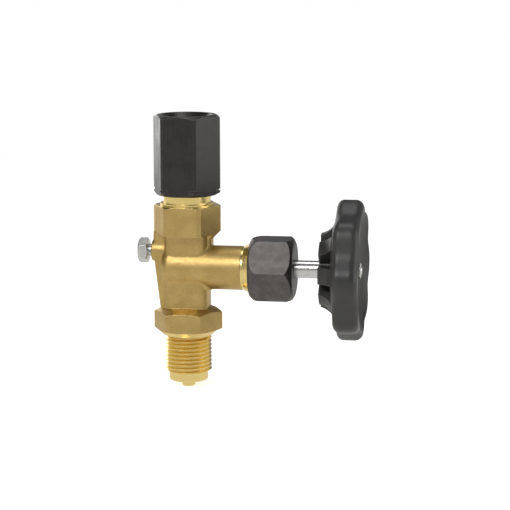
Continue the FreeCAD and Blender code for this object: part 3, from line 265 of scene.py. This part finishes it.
def oxide_steel():
    """Black oxide on a drawn hexagon: nearly black, lengthwise streaks, edges rubbed grey."""
    s = Surface("black_oxide_steel")
    tree = s.tree
    edges = s.edges(0.35 * MM)
    stretch = {"Vector": s.point, "Scale": (1.0, 1.0, 0.04)}
    drawn = place(tree, "ShaderNodeMapping", stretch).outputs[0]
    streaks = s.noise(0.5 * MM, detail=3.0, roughness=0.6, point=drawn)
    cloud = s.noise(6 * MM, detail=4.0, roughness=0.6)
    grain = s.noise(0.18 * MM, detail=2.0, roughness=0.7)
    shade = ramp(tree, cloud, 0.35, 0.65)
    colour = blend_colours(tree, shade, rgb(0.022, 0.021, 0.0185), rgb(0.031, 0.0295, 0.026))
    pale = ramp(tree, streaks, 0.45, 0.8, 0.0, 0.5)
    colour = blend_colours(tree, pale, colour, rgb(0.042, 0.040, 0.036))
    uneven = ramp(tree, s.noise(1.6 * MM, detail=4.0), 0.3, 0.7, 0.15, 0.8)
    wear = maths(tree, "MULTIPLY", edges, uneven)
    colour = blend_colours(tree, wear, colour, rgb(0.30, 0.29, 0.28))
    roughness = ramp(tree, cloud, 0.3, 0.7, 0.28, 0.36)
    roughness = maths(tree, "ADD", roughness, ramp(tree, streaks, 0.3, 0.7, -0.03, 0.05))
    height = mixture(tree, streaks, 0.5, grain)
    normal = s.bump(height, 0.012 * MM, s.rounded(0.25 * MM))
    return s.finish(colour=colour, metallic=0.35, roughness=roughness, normal=normal)


def phosphated_steel():
    """Grey phosphate on the gland nut: dull and mottled, with its edges rubbed brighter."""
    s = Surface("phosphated_steel")
    tree = s.tree
    edges = s.edges(0.45 * MM)
    cloud = s.noise(4.5 * MM, detail=5.0, roughness=0.6)
    speckle = s.noise(0.5 * MM, detail=4.0, roughness=0.7)
    grain = s.noise(0.2 * MM, detail=2.0, roughness=0.7)
    shade = ramp(tree, cloud, 0.35, 0.68)
    colour = blend_colours(tree, shade, rgb(0.105, 0.098, 0.091), rgb(0.150, 0.141, 0.132))
    pale = ramp(tree, speckle, 0.55, 0.8, 0.0, 0.5)
    colour = blend_colours(tree, pale, colour, rgb(0.20, 0.19, 0.18))
    uneven = ramp(tree, s.noise(1.3 * MM, detail=4.0), 0.3, 0.7, 0.1, 0.7)
    wear = maths(tree, "MULTIPLY", edges, uneven)
    colour = blend_colours(tree, wear, colour, rgb(0.32, 0.31, 0.295))
    roughness = ramp(tree, speckle, 0.3, 0.8, 0.40, 0.56)
    height = mixture(tree, speckle, 0.6, grain)
    normal = s.bump(height, 0.03 * MM, s.rounded(0.35 * MM))
    return s.finish(colour=colour, metallic=0.85, roughness=roughness, normal=normal)


def ground_steel():
    """Polished stainless steel with fine rings round the stem's axis."""
    s = Surface("ground_stainless_steel")
    tree = s.tree
    rings = s.turning_marks("X", 0.12 * MM)
    cloud = s.noise(3 * MM, detail=3.0)
    shade = ramp(tree, cloud, 0.3, 0.7)
    colour = blend_colours(tree, shade, rgb(0.60, 0.595, 0.58), rgb(0.68, 0.67, 0.655))
    roughness = ramp(tree, rings, 0.3, 0.7, 0.20, 0.30)
    normal = s.bump(rings, 0.004 * MM, s.rounded(0.15 * MM))
    return s.finish(colour=colour, metallic=1.0, roughness=roughness, normal=normal)


def zinc_steel():
    """Zinc plate: light grey, faintly blue and yellow in patches."""
    s = Surface("zinc_plated_steel")
    tree = s.tree
    edges = s.edges(0.25 * MM)
    cloud = s.noise(2.2 * MM, detail=4.0, roughness=0.6)
    speckle = s.noise(0.35 * MM, detail=3.0, roughness=0.7)
    rings = s.turning_marks("X", 0.15 * MM)
    shade = ramp(tree, cloud, 0.35, 0.65)
    colour = blend_colours(tree, shade, rgb(0.55, 0.56, 0.57), rgb(0.68, 0.67, 0.62))
    colour = blend_colours(tree, maths(tree, "MULTIPLY", edges, 0.5), colour, rgb(0.82, 0.82, 0.81))
    roughness = ramp(tree, speckle, 0.3, 0.75, 0.24, 0.38)
    height = mixture(tree, speckle, 0.6, rings)
    normal = s.bump(height, 0.012 * MM, s.rounded(0.2 * MM))
    return s.finish(colour=colour, metallic=1.0, roughness=roughness, normal=normal)


def turned_brass():
    """Bright brass turned about the stem's axis."""
    s = Surface("turned_brass_bush")
    tree = s.tree
    rings = s.turning_marks("X", 0.18 * MM)
    shade = ramp(tree, rings, 0.3, 0.7)
    colour = blend_colours(tree, shade, rgb(0.80, 0.56, 0.21), rgb(0.90, 0.67, 0.30))
    roughness = ramp(tree, rings, 0.3, 0.7, 0.18, 0.30)
    normal = s.bump(rings, 0.008 * MM, s.rounded(0.2 * MM))
    return s.finish(colour=colour, metallic=1.0, roughness=roughness, normal=normal)


def white_packing():
    """Pressed PTFE: off-white, waxy, with faint rings."""
    s = Surface("white_packing")
    tree = s.tree
    rings = s.turning_marks("X", 0.3 * MM)
    cloud = s.noise(2 * MM, detail=3.0)
    shade = ramp(tree, cloud, 0.3, 0.7)
    colour = blend_colours(tree, shade, rgb(0.78, 0.77, 0.74), rgb(0.86, 0.85, 0.82))
    roughness = ramp(tree, rings, 0.3, 0.7, 0.35, 0.5)
    normal = s.bump(rings, 0.01 * MM)
    return s.finish(colour=colour, metallic=0.0, roughness=roughness, normal=normal)


def soft_copper():
    """Annealed copper seal ring, slightly tarnished."""
    s = Surface("annealed_copper")
    tree = s.tree
    rings = s.turning_marks("Z", 0.2 * MM)
    tarnish = s.noise(2.5 * MM, detail=4.0)
    shade = ramp(tree, tarnish, 0.4, 0.7)
    colour = blend_colours(tree, shade, rgb(0.80, 0.40, 0.24), rgb(0.52, 0.24, 0.13))
    roughness = ramp(tree, rings, 0.3, 0.7, 0.28, 0.42)
    normal = s.bump(rings, 0.01 * MM)
    return s.finish(colour=colour, metallic=1.0, roughness=roughness, normal=normal)


def wheel_plastic():
    """Satin black moulded plastic: fine grain, slight flow marks, edges a little paler."""
    s = Surface("black_moulded_plastic")
    tree = s.tree
    edges = s.edges(0.5 * MM)
    cloud = s.noise(9 * MM, detail=4.0, roughness=0.55)
    grain = s.noise(0.28 * MM, detail=2.0, roughness=0.6)
    pits = ramp(tree, s.pits(0.45 * MM), 0.0, 0.5)
    shade = ramp(tree, cloud, 0.35, 0.65)
    colour = blend_colours(tree, shade, rgb(0.030, 0.029, 0.028), rgb(0.040, 0.039, 0.037))
    wear = maths(tree, "MULTIPLY", edges, 0.5)
    colour = blend_colours(tree, wear, colour, rgb(0.075, 0.074, 0.072))
    roughness = ramp(tree, cloud, 0.3, 0.7, 0.36, 0.46)
    roughness = maths(tree, "ADD", roughness, ramp(tree, grain, 0.3, 0.7, -0.03, 0.05))
    height = mixture(tree, grain, 0.5, pits)
    normal = s.bump(height, 0.016 * MM, s.rounded(0.4 * MM))
    return s.finish(colour=colour, metallic=0.0, roughness=roughness, normal=normal, specular=0.55)


def paint_nodes():
    """Gives each CAD node the finish of its material slot."""
    finishes = {
        "brass_body": body_brass(),
        "black_steel": oxide_steel(),
        "dark_steel": phosphated_steel(),
        "polished_steel": ground_steel(),
        "zinc_steel": zinc_steel(),
        "turned_brass": turned_brass(),
        "packing_white": white_packing(),
        "seal_copper": soft_copper(),
        "wheel_black": wheel_plastic(),
    }
    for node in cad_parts.values():
        for slot in node.material_slots:
            slot.material = finishes[slot.material.name]


# ---------------------------------------------------------------- studio


def floor():
    """A pale round floor, which fades into the white surround as the camera sees it."""
    mesh = bpy.data.meshes.new("floor")
    shape = bmesh.new()
    bmesh.ops.create_circle(shape, cap_ends=True, radius=FLOOR_RADIUS, segments=FLOOR_SIDES)
    bmesh.ops.translate(shape, verts=shape.verts, vec=(0, 0, FLOOR_HEIGHT - FLOOR_DROP))
    shape.to_mesh(mesh)
    shape.free()
    made = bpy.data.objects.new("floor", mesh)
    bpy.context.scene.collection.objects.link(made)

    material = bpy.data.materials.new("pale_floor")
    material.use_nodes = True
    tree = material.node_tree
    tree.nodes.clear()
    point = place(tree, "ShaderNodeTexCoord").outputs["Object"]
    away = place(tree, "ShaderNodeVectorMath", {0: point}, operation="LENGTH").outputs["Value"]
    far = ramp(tree, away, *FLOOR_FADE)
    grain = {"Vector": point, "Scale": FLOOR_SPECKS, "Detail": 3.0}
    specks = ramp(tree, place(tree, "ShaderNodeTexNoise", grain).outputs[0], 0.3, 0.7)
    paint = blend_colours(tree, specks, rgb(0.90, 0.90, 0.895), rgb(0.93, 0.93, 0.925))
    paper = place(tree, "ShaderNodeBsdfDiffuse", {"Color": paint, "Roughness": 0.6}).outputs[0]
    lift = emission(tree, WHITE, FLOOR_LIFT)
    near = place(tree, "ShaderNodeAddShader", {0: paper, 1: lift}).outputs[0]
    glow = emission(tree, WHITE, 1.0)
    shown = place(tree, "ShaderNodeMixShader", {0: far, 1: near, 2: glow}).outputs[0]
    dim = emission(tree, FLOOR_REFLECTED, 1.0)
    seen = place(tree, "ShaderNodeLightPath").outputs["Is Camera Ray"]
    both = place(tree, "ShaderNodeMixShader", {0: seen, 1: dim, 2: shown}).outputs[0]
    place(tree, "ShaderNodeOutputMaterial", {"Surface": both})
    mesh.materials.append(material)


def surround():
    """White as the camera sees it, and a dimmer studio, dark overhead, as the surfaces do."""
    world = bpy.data.worlds.new("studio")
    world.use_nodes = True
    tree = world.node_tree
    tree.nodes.clear()
    direction = place(tree, "ShaderNodeTexCoord").outputs["Generated"]
    up = place(tree, "ShaderNodeSeparateXYZ", {0: direction}).outputs["Z"]
    height = ramp(tree, up, -0.1, 0.8)
    walls = blend_colours(tree, height, rgb(*WALL_LOW), rgb(*WALL_HIGH))
    studio = place(tree, "ShaderNodeBackground", {"Color": walls, "Strength": 1.0}).outputs[0]
    white = place(tree, "ShaderNodeBackground", {"Color": rgb(*WHITE), "Strength": 1.0}).outputs[0]
    seen = place(tree, "ShaderNodeLightPath").outputs["Is Camera Ray"]
    both = place(tree, "ShaderNodeMixShader", {0: seen, 1: studio, 2: white}).outputs[0]
    place(tree, "ShaderNodeOutputWorld", {"Surface": both})
    bpy.context.scene.world = world


def softbox(name, place_at, aim, width, height, power):
    """A rectangular area light at a place, facing a point."""
    light = bpy.data.lights.new(name, "AREA")
    light.shape = "RECTANGLE"
    light.size, light.size_y = width, height
    light.energy = power
    made = bpy.data.objects.new(name, light)
    made.location = place_at
    made.rotation_mode = "QUATERNION"
    made.rotation_quaternion = (aim - place_at).to_track_quat("-Z", "Y")
    made.visible_camera = False
    bpy.context.scene.collection.objects.link(made)


def lights():
    """A key softbox in front, a wall behind on the left, one on the right, and a top light."""
    middle = (CAD_BOX[0] + CAD_BOX[1]) / 2
    # name, place from the valve's middle, width, height, watts
    softboxes = (
        ("key", (-0.25, -0.60, 0.52), 0.55, 0.22, 3.1),
        ("left_wall", (-0.55, 0.72, 0.05), 0.6, 0.9, 2.7),
        ("right_wall", (0.75, 0.02, 0.10), 0.5, 0.7, 1.9),
        ("top", (0.05, 0.10, 0.75), 0.5, 0.30, 1.3),
    )
    for name, offset, width, height, power in softboxes:
        softbox(name, middle + Vector(offset), middle, width, height, power)


def camera():
    """The scene's camera, which looks at CAMERA_AIM."""
    back = Vector(
        (
            math.sin(CAMERA_AZIMUTH) * math.cos(CAMERA_ELEVATION),
            -math.cos(CAMERA_AZIMUTH) * math.cos(CAMERA_ELEVATION),
            math.sin(CAMERA_ELEVATION),
        )
    )
    data = bpy.data.cameras.new("camera")
    data.sensor_width = SENSOR_WIDTH
    data.lens = LENS
    data.clip_start, data.clip_end = CAMERA_CLIP
    made = bpy.data.objects.new("camera", data)
    stand = Matrix.Translation(CAMERA_AIM + back * CAMERA_DISTANCE)
    facing = (-back).to_track_quat("-Z", "Y").to_matrix().to_4x4()
    made.matrix_world = stand @ facing @ Matrix.Rotation(-CAMERA_ROLL, 4, "Z")
    bpy.context.scene.collection.objects.link(made)
    bpy.context.scene.camera = made


paint_nodes()
floor()
surround()
lights()
camera()
bpy.context.scene.view_settings.view_transform = "Standard"
